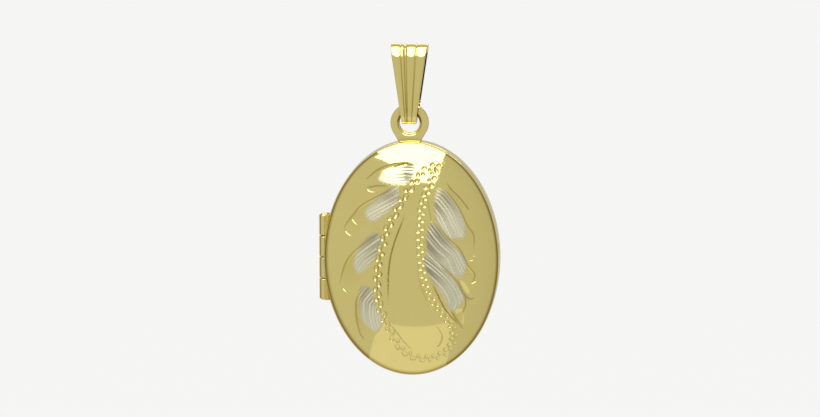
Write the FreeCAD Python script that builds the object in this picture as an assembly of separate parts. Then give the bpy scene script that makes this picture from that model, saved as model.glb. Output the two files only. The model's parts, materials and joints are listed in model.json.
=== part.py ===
"""Oval picture locket on a folded bail, made as the separate pieces of the real one.

Millimetres.  +Z is up as the locket hangs, the engraved cover faces -Y and the hinge is on the
-X side.  The origin is the middle of the bail's loop, where the chain runs through along X.
"""
import FreeCAD, Part
import math
import os

# ---- driving dimensions: body -------------------------------------------------------------
BODY_WIDTH = 15.0            # across the oval, side to side
BODY_LENGTH = 20.2           # along the oval, top to bottom
SHELL_WALL = 0.30            # sheet thickness of both stamped shells
FRONT_RIM_HEIGHT = 0.42      # straight side wall of the cover
BACK_RIM_HEIGHT = 1.10       # straight side wall of the back
FRONT_DOME_HEIGHT = 1.45     # crown of the cover above its side wall
BACK_DOME_HEIGHT = 1.45      # crown of the back above its side wall
SEAM_Y = -0.30               # plane in which the two halves meet
SEAM_GAP = 0.06              # daylight between the two rims when closed
BODY_SIDE_OFFSET = 0.20      # body's centre line stands off the bail's, away from the hinge

# ---- driving dimensions: hinge ------------------------------------------------------------
HINGE_LENGTH = 7.4
HINGE_CENTRE_ABOVE_BODY = 0.01
KNUCKLE_COUNT = 4
KNUCKLE_GAP = 0.10           # between neighbouring knuckles
KNUCKLE_RADIUS = 0.42
PIN_RADIUS = 0.20
PIN_HEAD_RADIUS = 0.32
PIN_HEAD_HEIGHT = 0.08
PIN_RUNNING_CLEARANCE = 0.03
PIN_STANDS_OUTSIDE = 0.02    # pin's axis beyond the side of the oval
BEARER_CLEARANCE = 0.06      # between a knuckle and the other half's gutter
BEARER_WALL = 0.20
BEARER_FROM_DEG = 8.0        # gutter's edge near the seam, seen from the pin's axis
BEARER_TO_DEG = 76.0
KNUCKLE_FOOT_FROM_DEG = 20.0
KNUCKLE_FOOT_TO_DEG = 60.0

# ---- driving dimensions: collar, seats, frames, windows, cards -----------------------------
COLLAR_WALL = 0.25
COLLAR_CLEARANCE = 0.08      # between the collar and the inside of the cover's rim
COLLAR_HEIGHT = 0.40         # how far the collar stands out of the back's rim
COLLAR_END_GAP = 0.15        # from the collar's cut ends to the hinge
SEAT_THICKNESS = 0.20
SEAT_RING_WIDTH = 1.20
SEAT_GAP = 0.10              # from the cover's seat to the collar's edge
FRAME_SIDE_GAP = 0.22        # from the frame to the collar's inside
FRAME_SKIRT = 0.25
FRAME_LIP_WIDTH = 0.65
FRAME_LIP_THICKNESS = 0.15
CARD_THICKNESS = 0.12
WINDOW_THICKNESS = 0.15
CARD_EDGE_GAP = 0.05         # from a card or window to its frame's skirt
SNAP_RIDGE_LENGTH = 3.0
SNAP_RIDGE_HEIGHT = 0.20      # along Y
SNAP_RIDGE_STANDS_OUT = 0.05
THUMB_NICK_RADIUS = 1.4
THUMB_NICK_DEPTH = 0.12
THUMB_NICK_ABOVE_BODY = 1.1

# ---- driving dimensions: eye and bail -----------------------------------------------------
EYE_OUTER_RADIUS = 1.62
EYE_HOLE_RADIUS = 0.86
EYE_THICKNESS = 0.56
EYE_BEVEL = 0.19
EYE_PLANE_Y = 0.0
EYE_ABOVE_BODY = 1.58        # eye's centre above the top of the oval
EYE_NECK_WIDTH = 1.75
BAIL_LOOP_RADIUS = 0.83      # inside of the loop at the top, where the chain runs
BAIL_STRIP = 0.28
BAIL_EYE_CLEARANCE = 0.10    # between the corners of the foot's bend and the eye's hole
BAIL_FOOT_THICKNESS = 0.56   # the lapped ends under the eye
BAIL_TOP_WIDTH = 3.15
BAIL_FOOT_WIDTH = 1.15
BAIL_LOOP_TO_EYE_RING = 4.43  # loop's centre to the middle of the eye's rim, which it holds
BAIL_GROOVE_DEPTH = 0.07
BAIL_GROOVE_WIDTH_TOP = 0.26
BAIL_GROOVE_WIDTH_FOOT = 0.10
BAIL_GROOVE_PLACES = (-0.27, 0.30)  # across the strip, as parts of its half width

# ---- places worked out from the dimensions ------------------------------------------------
HALF_WIDTH = BODY_WIDTH / 2
HALF_LENGTH = BODY_LENGTH / 2
EYE_RING_MIDDLE = (EYE_OUTER_RADIUS + EYE_HOLE_RADIUS) / 2
PIVOT_Z = -BAIL_LOOP_TO_EYE_RING
EYE_Z = PIVOT_Z - EYE_RING_MIDDLE
BAIL_LENGTH = BAIL_LOOP_RADIUS + BAIL_STRIP + BAIL_LOOP_TO_EYE_RING + EYE_RING_MIDDLE
BAIL_SPREAD = (BAIL_TOP_WIDTH - BAIL_FOOT_WIDTH) / 2 / BAIL_LENGTH
BAIL_HALF_AT_BEND = BAIL_FOOT_WIDTH / 2 + BAIL_SPREAD * BAIL_FOOT_THICKNESS
BEND_CORNER_DROP = EYE_RING_MIDDLE - math.sqrt(EYE_HOLE_RADIUS**2 - BAIL_HALF_AT_BEND**2)
BAIL_FOOT_RADIUS = BEND_CORNER_DROP + BAIL_EYE_CLEARANCE
BODY_X = BODY_SIDE_OFFSET
BODY_Z = EYE_Z - EYE_ABOVE_BODY - HALF_LENGTH
FRONT_RIM_Y = SEAM_Y - SEAM_GAP / 2
BACK_RIM_Y = SEAM_Y + SEAM_GAP / 2
FRONT_SHOULDER_Y = FRONT_RIM_Y - FRONT_RIM_HEIGHT
BACK_SHOULDER_Y = BACK_RIM_Y + BACK_RIM_HEIGHT
COLLAR_END_Y = BACK_RIM_Y - COLLAR_HEIGHT
FRONT_SEAT_Y = COLLAR_END_Y - SEAT_GAP
STACK_HEIGHT = CARD_THICKNESS + WINDOW_THICKNESS + FRAME_LIP_THICKNESS
BACK_SEAT_Y = FRONT_SEAT_Y + 2 * STACK_HEIGHT + SEAT_GAP
PIN_X = BODY_X - HALF_WIDTH - PIN_STANDS_OUTSIDE
PIN_Z = BODY_Z + HINGE_CENTRE_ABOVE_BODY
GUTTER_INNER_RADIUS = KNUCKLE_RADIUS + BEARER_CLEARANCE
GUTTER_OUTER_RADIUS = GUTTER_INNER_RADIUS + BEARER_WALL
COLLAR_INSET = SHELL_WALL + COLLAR_CLEARANCE
FRAME_INSET = COLLAR_INSET + COLLAR_WALL + FRAME_SIDE_GAP
CARD_INSET = FRAME_INSET + FRAME_SKIRT + CARD_EDGE_GAP
SEAT_OPENING_INSET = SHELL_WALL + SEAT_RING_WIDTH

AXIS_X = FreeCAD.Vector(1, 0, 0)
AXIS_Y = FreeCAD.Vector(0, 1, 0)
AXIS_Z = FreeCAD.Vector(0, 0, 1)
ORIGIN = FreeCAD.Vector(0, 0, 0)
REACH = 4 * BODY_LENGTH      # larger than the whole object, for cutting blocks


def moved(shape, x=0.0, y=0.0, z=0.0):
    """The shape carried to another place."""
    copy = shape.copy()
    copy.translate(FreeCAD.Vector(x, y, z))
    return copy


def oval_plate(inset, from_y, to_y):
    """A flat oval plate, the body's outline drawn in by inset all round."""
    along = HALF_LENGTH - inset
    across = HALF_WIDTH - inset
    curve = Part.Ellipse(ORIGIN, along, across).toShape()
    face = Part.Face(Part.Wire([curve]))
    face.rotate(ORIGIN, AXIS_X, 90)
    face.rotate(ORIGIN, AXIS_Y, 90)
    face.translate(FreeCAD.Vector(BODY_X, from_y, BODY_Z))
    return face.extrude(FreeCAD.Vector(0, to_y - from_y, 0))


def domed_oval(inset, rim_y, shoulder_y, dome_height):
    """A solid half body: straight side wall from the rim to the shoulder, then half an ellipsoid.

    It is turned as a round body whose radius is half the width, then stretched to the length.
    """
    across = HALF_WIDTH - inset
    along = HALF_LENGTH - inset
    crown = dome_height - inset
    outwards = 1 if shoulder_y > rim_y else -1
    arc_curve = Part.Ellipse(FreeCAD.Vector(0, shoulder_y, 0), across, crown)
    start, end = (0, math.pi / 2) if outwards > 0 else (-math.pi / 2, 0)
    arc = Part.ArcOfEllipse(arc_curve, start, end).toShape()
    apex = FreeCAD.Vector(0, shoulder_y + outwards * crown, 0)
    centre = FreeCAD.Vector(0, rim_y, 0)
    rim = FreeCAD.Vector(across, rim_y, 0)
    shoulder = FreeCAD.Vector(across, shoulder_y, 0)
    edges = [
        Part.makeLine(apex, centre),
        Part.makeLine(centre, rim),
        Part.makeLine(rim, shoulder),
        arc,
    ]
    profile = Part.Face(Part.Wire(Part.__sortEdges__(edges)))
    turned = profile.revolve(ORIGIN, AXIS_Y, 360)
    stretch = FreeCAD.Matrix()
    stretch.scale(1, 1, along / across)
    return moved(turned.transformGeometry(stretch), BODY_X, 0, BODY_Z)


def hinge_cylinder(radius, length):
    """A cylinder on the pin's axis, centred on the hinge."""
    base = FreeCAD.Vector(PIN_X, SEAM_Y, PIN_Z - length / 2)
    return Part.makeCylinder(radius, length, base, AXIS_Z)


def hinge_sector(inner, outer, from_deg, to_deg, side, low_z, high_z):
    """Part of a tube round the pin, between two angles from +X towards the given half.

    side is +1 for the back half and -1 for the cover.
    """
    height = high_z - low_z
    base = FreeCAD.Vector(PIN_X, SEAM_Y, low_z)
    spread = to_deg - from_deg
    ring = Part.makeCylinder(outer, height, base, AXIS_Z, spread)
    ring = ring.cut(Part.makeCylinder(inner, height, base, AXIS_Z))
    start = from_deg if side > 0 else -to_deg
    ring.rotate(base, AXIS_Z, start)
    return ring


def shell(rim_y, shoulder_y, dome_height):
    """A stamped half: outer form less inner form, notched for the hinge gutter."""
    outer = domed_oval(0.0, rim_y, shoulder_y, dome_height)
    inner = domed_oval(SHELL_WALL, rim_y, shoulder_y, dome_height)
    return outer.cut(inner).cut(hinge_cylinder(GUTTER_OUTER_RADIUS, HINGE_LENGTH))


def back_shell():
    return shell(BACK_RIM_Y, BACK_SHOULDER_Y, BACK_DOME_HEIGHT)


def front_shell():
    """The cover, with a shallow nail nick in its rim opposite the hinge."""
    cover = shell(FRONT_RIM_Y, FRONT_SHOULDER_Y, FRONT_DOME_HEIGHT)
    nick_x = BODY_X + HALF_WIDTH + THUMB_NICK_RADIUS - THUMB_NICK_DEPTH
    nick_base = FreeCAD.Vector(nick_x, FRONT_SHOULDER_Y, BODY_Z + THUMB_NICK_ABOVE_BODY)
    nick = Part.makeCylinder(THUMB_NICK_RADIUS, FRONT_RIM_HEIGHT, nick_base, AXIS_Y)
    return cover.cut(nick)


def seat_ring(face_y, away, rim_y, shoulder_y, dome_height):
    """Flat ring that fills the shell's section behind its picture; away points into the dome."""
    slab = oval_plate(0.0, face_y, face_y + away * SEAT_THICKNESS)
    cavity = domed_oval(SHELL_WALL, rim_y, shoulder_y, dome_height)
    opening = oval_plate(SEAT_OPENING_INSET, face_y, face_y + away * SEAT_THICKNESS)
    ring = slab.common(cavity).cut(opening)
    return ring.cut(hinge_cylinder(GUTTER_OUTER_RADIUS, HINGE_LENGTH))


def back_seat_ring():
    return seat_ring(BACK_SEAT_Y, 1, BACK_RIM_Y, BACK_SHOULDER_Y, BACK_DOME_HEIGHT)


def front_seat_ring():
    return seat_ring(FRONT_SEAT_Y, -1, FRONT_RIM_Y, FRONT_SHOULDER_Y, FRONT_DOME_HEIGHT)


def back_collar():
    """Oval wall soldered inside the back, stepped in where it enters the cover, open at the hinge."""
    inner_inset = COLLAR_INSET + COLLAR_WALL
    base = oval_plate(SHELL_WALL, BACK_RIM_Y, BACK_SEAT_Y)
    lip = oval_plate(COLLAR_INSET, COLLAR_END_Y, BACK_RIM_Y)
    hollow = oval_plate(inner_inset, COLLAR_END_Y, BACK_SEAT_Y)
    gap_height = HINGE_LENGTH + 2 * COLLAR_END_GAP
    gap = Part.makeBox(
        HALF_WIDTH,
        REACH,
        gap_height,
        FreeCAD.Vector(PIN_X, -REACH / 2, PIN_Z - gap_height / 2),
    )
    return base.fuse(lip).cut(hollow).cut(gap).removeSplitter()


def snap_ridge():
    """Short flat wire soldered on the collar's outside, opposite the hinge, bent to its curve."""
    middle_y = COLLAR_END_Y + COLLAR_HEIGHT / 2
    near = middle_y - SNAP_RIDGE_HEIGHT / 2
    far = middle_y + SNAP_RIDGE_HEIGHT / 2
    wire = oval_plate(COLLAR_INSET - SNAP_RIDGE_STANDS_OUT, near, far)
    wire = wire.cut(oval_plate(COLLAR_INSET, near, far))
    corner = FreeCAD.Vector(BODY_X, -REACH / 2, BODY_Z - SNAP_RIDGE_LENGTH / 2)
    return wire.common(Part.makeBox(BODY_WIDTH, REACH, SNAP_RIDGE_LENGTH, corner))


def picture_frame(seat_y, towards_seam):
    """Removable ring with an L section: a skirt on the seat and a lip over the window's edge."""
    top_y = seat_y + towards_seam * STACK_HEIGHT
    lip_y = top_y - towards_seam * FRAME_LIP_THICKNESS
    skirt = oval_plate(FRAME_INSET, seat_y, lip_y)
    skirt = skirt.cut(oval_plate(FRAME_INSET + FRAME_SKIRT, seat_y, lip_y))
    lip = oval_plate(FRAME_INSET, lip_y, top_y)
    lip = lip.cut(oval_plate(FRAME_INSET + FRAME_SKIRT + FRAME_LIP_WIDTH, lip_y, top_y))
    return skirt.fuse(lip).removeSplitter()


def picture_card(seat_y, towards_seam):
    return oval_plate(CARD_INSET, seat_y, seat_y + towards_seam * CARD_THICKNESS)


def window(seat_y, towards_seam):
    start = seat_y + towards_seam * CARD_THICKNESS
    return oval_plate(CARD_INSET, start, start + towards_seam * WINDOW_THICKNESS)


def hinge_bearer(side):
    """Gutter strip let into a half's rim, concentric with the pin; it carries that half's knuckles."""
    low = PIN_Z - HINGE_LENGTH / 2
    high = PIN_Z + HINGE_LENGTH / 2
    return hinge_sector(
        GUTTER_INNER_RADIUS, GUTTER_OUTER_RADIUS, BEARER_FROM_DEG, BEARER_TO_DEG, side, low, high
    )


def knuckle(number, side):
    """Tube round the pin with a solder foot on its own gutter.  Number 0 is at the top."""
    pitch = HINGE_LENGTH / KNUCKLE_COUNT
    high = PIN_Z + HINGE_LENGTH / 2 - number * pitch - KNUCKLE_GAP / 2
    low = high - pitch + KNUCKLE_GAP
    base = FreeCAD.Vector(PIN_X, SEAM_Y, low)
    bore = PIN_RADIUS if side > 0 else PIN_RADIUS + PIN_RUNNING_CLEARANCE
    tube = Part.makeCylinder(KNUCKLE_RADIUS, high - low, base, AXIS_Z)
    middle_of_wall = (PIN_RADIUS + KNUCKLE_RADIUS) / 2
    foot = hinge_sector(
        middle_of_wall,
        GUTTER_INNER_RADIUS,
        KNUCKLE_FOOT_FROM_DEG,
        KNUCKLE_FOOT_TO_DEG,
        side,
        low,
        high,
    )
    hole = Part.makeCylinder(bore, high - low, base, AXIS_Z)
    return tube.fuse(foot).cut(hole).removeSplitter()


def hinge_pin():
    """Wire held in the back half's knuckles, its two ends peened into small rounded heads."""
    shank = hinge_cylinder(PIN_RADIUS, HINGE_LENGTH)
    edge = PIN_HEAD_HEIGHT / 2
    heads = []
    for sign in (1, -1):
        start = FreeCAD.Vector(PIN_X, SEAM_Y, PIN_Z + sign * HINGE_LENGTH / 2)
        along = AXIS_Z * sign
        disc = Part.makeCylinder(PIN_HEAD_RADIUS, edge, start, along)
        crown = Part.makeCone(PIN_HEAD_RADIUS, PIN_RADIUS, edge, start + along * edge, along)
        heads.append(disc.fuse(crown))
    return shank.multiFuse(heads).removeSplitter()


def bail_lug():
    """Flat eye whose sides run as tangents into a neck, cut to sit on the back shell's rim."""
    near = EYE_PLANE_Y - EYE_THICKNESS / 2
    base = FreeCAD.Vector(0, near, EYE_Z)
    disc = Part.makeCylinder(EYE_OUTER_RADIUS, EYE_THICKNESS, base, AXIS_Y)
    neck_half = EYE_NECK_WIDTH / 2
    neck_drop = EYE_ABOVE_BODY
    reach = math.hypot(neck_half, neck_drop)
    towards_neck = math.atan2(-neck_drop, neck_half)
    tangent = towards_neck + math.acos(EYE_OUTER_RADIUS / reach)
    touch_x = EYE_OUTER_RADIUS * math.cos(tangent)
    touch_z = EYE_OUTER_RADIUS * math.sin(tangent)
    foot_z = -neck_drop - SHELL_WALL
    outline = [
        (-touch_x, touch_z),
        (-neck_half, -neck_drop),
        (-neck_half, foot_z),
        (neck_half, foot_z),
        (neck_half, -neck_drop),
        (touch_x, touch_z),
    ]
    points = [FreeCAD.Vector(x, near, EYE_Z + z) for x, z in outline]
    neck = Part.Face(Part.makePolygon(points + points[:1])).extrude(AXIS_Y * EYE_THICKNESS)
    straight = EYE_THICKNESS / 2 - EYE_BEVEL
    hole = Part.makeCylinder(EYE_HOLE_RADIUS, EYE_THICKNESS, base, AXIS_Y)
    middle = FreeCAD.Vector(0, EYE_PLANE_Y, EYE_Z)
    lug = disc.fuse(neck).cut(hole)
    for sign in (1, -1):
        start = middle + AXIS_Y * (sign * straight)
        flare = Part.makeCone(
            EYE_HOLE_RADIUS, EYE_HOLE_RADIUS + EYE_BEVEL, EYE_BEVEL, start, AXIS_Y * sign
        )
        lug = lug.cut(flare)
    return lug.cut(oval_plate(0.0, FRONT_SHOULDER_Y, BACK_SHOULDER_Y)).removeSplitter()


def loop_outline(top_radius, foot_half_depth, foot_drop):
    """Side view of the bail's loop: round top, straight legs, round foot.

    The legs run from the top circle to the foot's ends at the height of the eye's rim.
    """
    reach = math.hypot(foot_half_depth, PIVOT_Z)
    lean = math.atan2(PIVOT_Z, foot_half_depth) + math.acos(top_radius / reach)
    touch_y = top_radius * math.cos(lean)
    touch_z = top_radius * math.sin(lean)

    def point(y, z):
        return FreeCAD.Vector(0, y, z)

    foot_low = point(0, PIVOT_Z - foot_drop)
    edges = [
        Part.Arc(point(-touch_y, touch_z), point(0, top_radius), point(touch_y, touch_z)).toShape(),
        Part.makeLine(point(touch_y, touch_z), point(foot_half_depth, PIVOT_Z)),
        Part.Arc(
            point(foot_half_depth, PIVOT_Z), foot_low, point(-foot_half_depth, PIVOT_Z)
        ).toShape(),
        Part.makeLine(point(-foot_half_depth, PIVOT_Z), point(-touch_y, touch_z)),
    ]
    return Part.Face(Part.Wire(edges))


def taper(half_top, half_foot, top_z, foot_z, centre_top=0.0, centre_foot=0.0):
    """A block as deep as needed, seen from the front as a strip that narrows downwards."""
    outline = [
        (centre_top - half_top, top_z),
        (centre_top + half_top, top_z),
        (centre_foot + half_foot, foot_z),
        (centre_foot - half_foot, foot_z),
    ]
    points = [FreeCAD.Vector(x, -REACH / 2, z) for x, z in outline]
    return Part.Face(Part.makePolygon(points + points[:1])).extrude(AXIS_Y * REACH)


def bail():
    """Folded strip, wide at the chain and narrow at the eye, with shallow grooves down its faces."""
    outer_top = BAIL_LOOP_RADIUS + BAIL_STRIP
    outer_foot = BAIL_FOOT_RADIUS + BAIL_STRIP
    foot_drop = BAIL_FOOT_RADIUS + BAIL_FOOT_THICKNESS
    outer = loop_outline(outer_top, outer_foot, foot_drop)
    inner = loop_outline(BAIL_LOOP_RADIUS, BAIL_FOOT_RADIUS, BAIL_FOOT_RADIUS)
    span = 2 * BAIL_TOP_WIDTH
    strip = outer.cut(inner).extrude(AXIS_X * span)
    strip = moved(strip, -span / 2)
    foot_z = PIVOT_Z - foot_drop
    half_top = BAIL_TOP_WIDTH / 2
    half_foot = BAIL_FOOT_WIDTH / 2
    strip = strip.common(taper(half_top, half_foot, outer_top, foot_z))
    core_top = outer_top - BAIL_GROOVE_DEPTH
    core_foot = outer_foot - BAIL_GROOVE_DEPTH
    core = loop_outline(core_top, core_foot, foot_drop - BAIL_GROOVE_DEPTH).extrude(AXIS_X * span)
    core = moved(core, -span / 2)
    for place in BAIL_GROOVE_PLACES:
        groove = taper(
            BAIL_GROOVE_WIDTH_TOP / 2,
            BAIL_GROOVE_WIDTH_FOOT / 2,
            outer_top,
            foot_z,
            place * half_top,
            place * half_foot,
        )
        strip = strip.cut(groove.cut(core))
    return strip


def write(shape, node):
    """One closed solid to its own file."""
    solids = shape.Solids
    if len(solids) != 1 or not shape.isValid():
        raise RuntimeError(f"{node}: {len(solids)} solids, valid {shape.isValid()}")
    solids[0].exportStep(f"parts/{node}.step")
    print(f"{node}: {solids[0].Volume:.3f} mm3")


os.makedirs("parts", exist_ok=True)
write(bail(), "bail")
write(bail_lug(), "bail_lug")
write(back_shell(), "back_shell")
write(back_collar(), "back_collar")
write(snap_ridge(), "snap_ridge")
write(back_seat_ring(), "back_seat_ring")
write(front_shell(), "front_shell")
write(front_seat_ring(), "front_seat_ring")
write(picture_card(BACK_SEAT_Y, -1), "back_picture_card")
write(window(BACK_SEAT_Y, -1), "back_window")
write(picture_frame(BACK_SEAT_Y, -1), "back_picture_frame")
write(picture_card(FRONT_SEAT_Y, 1), "front_picture_card")
write(window(FRONT_SEAT_Y, 1), "front_window")
write(picture_frame(FRONT_SEAT_Y, 1), "front_picture_frame")
write(hinge_bearer(1), "back_hinge_bearer")
write(hinge_bearer(-1), "front_hinge_bearer")
write(hinge_pin(), "hinge_pin")
for number in range(KNUCKLE_COUNT):
    half = 1 if number % 2 == 0 else -1
    owner = "back" if half > 0 else "front"
    write(knuckle(number, half), f"{owner}_knuckle_{number + 1}")
print(f"foot radius {BAIL_FOOT_RADIUS:.3f}")
print(f"pivot z {PIVOT_Z:.3f}, pin x {PIN_X:.3f}, seam y {SEAM_Y:.3f}, body z {BODY_Z:.3f}")
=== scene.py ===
"""An oval picture locket in polished yellow gold on a folded, fluted bail.

The file follows the locket as a goldsmith puts it together: the engraved cover, the back, the
collar and seats inside, the pictures, the hinge, the eye, the bail, and last the room it hangs in.
Lengths are metres in the frame of the CAD model; MM turns millimetres into metres.
"""

import json
import math

import bpy
import numpy as np
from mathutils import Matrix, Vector


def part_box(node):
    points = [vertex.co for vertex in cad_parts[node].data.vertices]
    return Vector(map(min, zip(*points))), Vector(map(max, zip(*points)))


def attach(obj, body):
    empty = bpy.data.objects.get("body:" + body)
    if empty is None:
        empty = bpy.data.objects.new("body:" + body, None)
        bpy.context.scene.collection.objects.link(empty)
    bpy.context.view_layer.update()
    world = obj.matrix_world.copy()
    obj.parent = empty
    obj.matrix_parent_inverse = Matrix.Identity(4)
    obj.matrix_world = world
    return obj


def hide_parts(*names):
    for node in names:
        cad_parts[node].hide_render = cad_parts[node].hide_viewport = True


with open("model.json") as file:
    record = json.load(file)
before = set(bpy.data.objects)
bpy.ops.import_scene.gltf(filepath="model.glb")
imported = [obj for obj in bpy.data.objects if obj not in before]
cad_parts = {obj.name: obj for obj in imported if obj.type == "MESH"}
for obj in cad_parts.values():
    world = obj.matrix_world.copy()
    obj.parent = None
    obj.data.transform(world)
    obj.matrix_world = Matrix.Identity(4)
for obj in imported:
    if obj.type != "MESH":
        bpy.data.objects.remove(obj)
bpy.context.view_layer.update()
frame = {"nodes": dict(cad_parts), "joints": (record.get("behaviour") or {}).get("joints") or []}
MM = 0.001


# ---- The cover --------------------------------------------------------------------------------
# The front shell, stamped from gold sheet into a shallow dome with a short side wall.  It is
# polished, then hand engraved: leaves bright-cut with a flat graver, a wriggle-cut loop, and
# the shaded part of each leaf touched with white rhodium.
back_low, back_high = (np.array(corner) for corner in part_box("back_shell"))
cover_low, cover_high = (np.array(corner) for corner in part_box("front_shell"))
OVAL_CENTRE = (back_low + back_high) / 2
HALF_WIDTH, _, HALF_LENGTH = (back_high - back_low) / 2
SHELL_WALL = 0.30 * MM
COVER_RIM_HEIGHT = 0.42 * MM
COVER_RIM_Y = cover_high[1]
COVER_CROWN_Y = cover_low[1]
RIM_ROUNDING = 0.07 * MM
hinge_place = next(joint for joint in frame["joints"] if joint["name"] == "cover_hinge")["pos_m"]
PIN_X, SEAM_Y, _ = hinge_place
knuckle_boxes = [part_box(f"{half}_knuckle_{n}") for n, half in enumerate(("back", "front") * 2, 1)]
HINGE_BOTTOM = min(box[0][2] for box in knuckle_boxes)
HINGE_TOP = max(box[1][2] for box in knuckle_boxes)
GUTTER_RADIUS = 0.68 * MM


def dome_arc(half_across, half_along, shoulder_y, crown_y, steps):
    """Rows from the crown out to the shoulder: a quarter ellipse, evenly spread for nine tenths
    of the way out and then crowding into the turn of the edge.

    Row k is the oval scaled by r; its height is the crown's times sqrt(1 - r squared).
    """
    even = np.linspace(0, 0.90, int(steps * 0.84), endpoint=False)
    turn = np.linspace(math.asin(0.90), math.pi / 2, steps - len(even))
    scale = np.concatenate([even, np.sin(turn)])
    height = np.sqrt(np.clip(1 - scale**2, 0, 1))
    rows = [half_across * scale, half_along * scale, shoulder_y + (crown_y - shoulder_y) * height]
    return np.stack(rows, axis=1)


def rounded_step(profile, radius, steps=4, closed=True):
    """The profile's points with each corner swapped for a small arc.

    The arc is the quadratic curve from one radius before the corner to one radius after it.
    """
    points = np.asarray(profile, dtype=float)
    before = np.roll(points, 1, axis=0) - points
    after = np.roll(points, -1, axis=0) - points
    length_before = np.maximum(np.linalg.norm(before, axis=1, keepdims=True), 1e-12)
    length_after = np.maximum(np.linalg.norm(after, axis=1, keepdims=True), 1e-12)
    start = points + before / length_before * np.minimum(radius, length_before * 0.45)
    end = points + after / length_after * np.minimum(radius, length_after * 0.45)
    t = np.linspace(0, 1, steps)[None, :, None]
    arcs = (1 - t) ** 2 * start[:, None] + 2 * t * (1 - t) * points[:, None] + t**2 * end[:, None]
    if not closed:
        arcs[0] = points[0]
        arcs[-1] = points[-1]
    return arcs.reshape(-1, points.shape[1])


def oval_rings(rows, spokes, from_turn=0.0, to_turn=2 * math.pi):
    """A grid of points: each row (half across, half along, y) is an ellipse round the oval's
    centre, x = across cos t, z = along sin t, with spokes values of t."""
    whole = abs(to_turn - from_turn - 2 * math.pi) < 1e-9
    turn = np.linspace(from_turn, to_turn, spokes, endpoint=not whole)
    x = OVAL_CENTRE[0] + rows[:, 0, None] * np.cos(turn)
    z = OVAL_CENTRE[2] + rows[:, 1, None] * np.sin(turn)
    y = np.repeat(rows[:, 2, None], spokes, axis=1)
    return np.stack([x, y, z], axis=-1)


def into_scene(name, data):
    """A new object holding this mesh, lamp or camera, put into the scene."""
    thing = bpy.data.objects.new(name, data)
    bpy.context.scene.collection.objects.link(thing)
    return thing


def skin(name, grid, wrap_rows=False, wrap_columns=True, close_start=False, close_end=False):
    """A mesh over a grid of points, made of quads between neighbouring rows and columns.

    close_start and close_end put one point in the middle of the first or last row and a fan of
    triangles round it.  The faces are turned over if the solid's signed volume comes out negative.
    """
    rows, columns, _ = grid.shape
    points = grid.reshape(-1, 3)
    row = np.arange(rows if wrap_rows else rows - 1)
    column = np.arange(columns if wrap_columns else columns - 1)
    r, c = np.meshgrid(row, column, indexing="ij")
    r_next, c_next = (r + 1) % rows, (c + 1) % columns
    corners = (r * columns + c, r_next * columns + c, r_next * columns + c_next, r * columns + c_next)
    quads = np.stack(corners, axis=-1).reshape(-1, 4)
    around = np.arange(columns)
    nxt = (around + 1) % columns
    fans = []
    last = (rows - 1) * columns
    ends = ((close_start, 0, around, nxt), (close_end, -1, last + nxt, last + around))
    for wanted, end, first, second in ends:
        if wanted:
            middle = np.full(columns, len(points))
            points = np.vstack([points, grid[end].mean(axis=0)])
            fans.append(np.stack([middle, first, second], axis=1))
    triangles = np.concatenate(fans) if fans else np.zeros((0, 3), dtype=int)
    split = np.concatenate([quads[:, [0, 1, 2]], quads[:, [0, 2, 3]], triangles])
    a, b, d = (points[split[:, k]] - points[0] for k in range(3))
    if np.einsum("ij,ij->i", a, np.cross(b, d)).sum() < 0:
        quads, triangles = quads[:, ::-1], triangles[:, ::-1]
    loops = np.concatenate([quads.ravel(), triangles.ravel()]).astype(np.int32)
    sizes = np.concatenate([np.full(len(quads), 4), np.full(len(triangles), 3)]).astype(np.int32)
    mesh = bpy.data.meshes.new(name)
    mesh.vertices.add(len(points))
    mesh.vertices.foreach_set("co", points.astype(np.float32).ravel())
    mesh.loops.add(len(loops))
    mesh.loops.foreach_set("vertex_index", loops)
    mesh.polygons.add(len(sizes))
    mesh.polygons.foreach_set("loop_start", (np.cumsum(sizes) - sizes).astype(np.int32))
    mesh.update(calc_edges=True)
    mesh.validate()
    mesh.shade_smooth()
    return into_scene(name, mesh)


def beside_hinge(points, radius):
    """Points nearer to the pin than radius are carried straight out to it, over the hinge's
    length, so that the wall dips into a gutter; the dip fades out past the hinge's two ends."""
    out = points.copy()
    dx, dy = out[..., 0] - PIN_X, out[..., 1] - SEAM_Y
    reach = np.maximum(np.hypot(dx, dy), 1e-9)
    past_end = np.maximum(out[..., 2] - HINGE_TOP, HINGE_BOTTOM - out[..., 2])
    within = np.clip(1 - past_end / (0.12 * MM), 0, 1)
    push = np.maximum(radius - reach, 0) * within
    out[..., 0] += dx / reach * push
    out[..., 1] += dy / reach * push
    return out


def smooth_line(points, closed=False, per_span=24):
    """Points close together on a curve that passes through every given point.

    Each span is the Catmull-Rom cubic of its two ends and their two neighbours.
    """
    p = np.asarray(points, dtype=float)
    if closed:
        p0, p1, p2, p3 = np.roll(p, 1, axis=0), p, np.roll(p, -1, axis=0), np.roll(p, -2, axis=0)
    else:
        padded = np.vstack([2 * p[0] - p[1], p, 2 * p[-1] - p[-2]])
        p0, p1, p2, p3 = padded[:-3], padded[1:-2], padded[2:-1], padded[3:]
    t = np.linspace(0, 1, per_span, endpoint=False)[None, :, None]
    p0, p1, p2, p3 = (side[:, None, :] for side in (p0, p1, p2, p3))
    spans = 2 * p1 + (p2 - p0) * t + (2 * p0 - 5 * p1 + 4 * p2 - p3) * t**2
    spans = (spans + (3 * p1 - p0 - 3 * p2 + p3) * t**3) / 2
    line = spans.reshape(-1, 2)
    return line if closed else np.vstack([line, p[-1]])


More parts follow.
